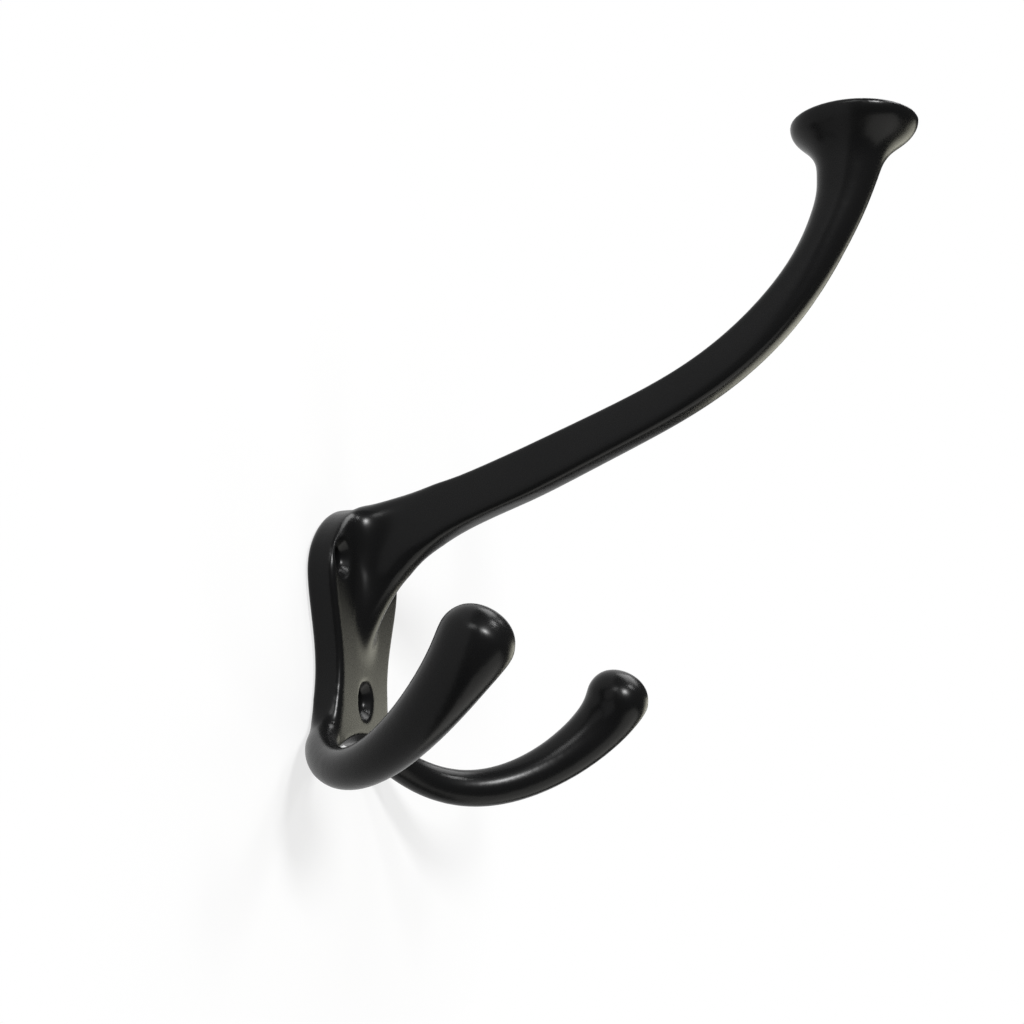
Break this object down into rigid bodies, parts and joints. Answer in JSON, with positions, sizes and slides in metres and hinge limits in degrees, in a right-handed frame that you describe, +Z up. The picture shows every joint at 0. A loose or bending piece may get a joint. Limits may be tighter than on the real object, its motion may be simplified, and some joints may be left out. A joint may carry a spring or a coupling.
{
  "type": "double robe hook",
  "caption": "Cast wall hook with a waisted, countersunk screw plate, a long upper arm ending in a flared knob and a spread of curved lower arms with thick domed tips.",
  "frame": {"origin": "on the wall face, on the mirror plane, midway in height between the upper row of screws and the lower screw", "axes": "+Z up along the wall, +Y into the wall, so the hook stands out along -Y; +X to the right seen from the room"},
  "size_m": [0.0986, 0.1022, 0.1125],
  "materials": {
    "satin_black": "satin black paint"
  },
  "bodies": {
    "root": {"hook_casting": "satin_black"}
  },
  "joints": []
}
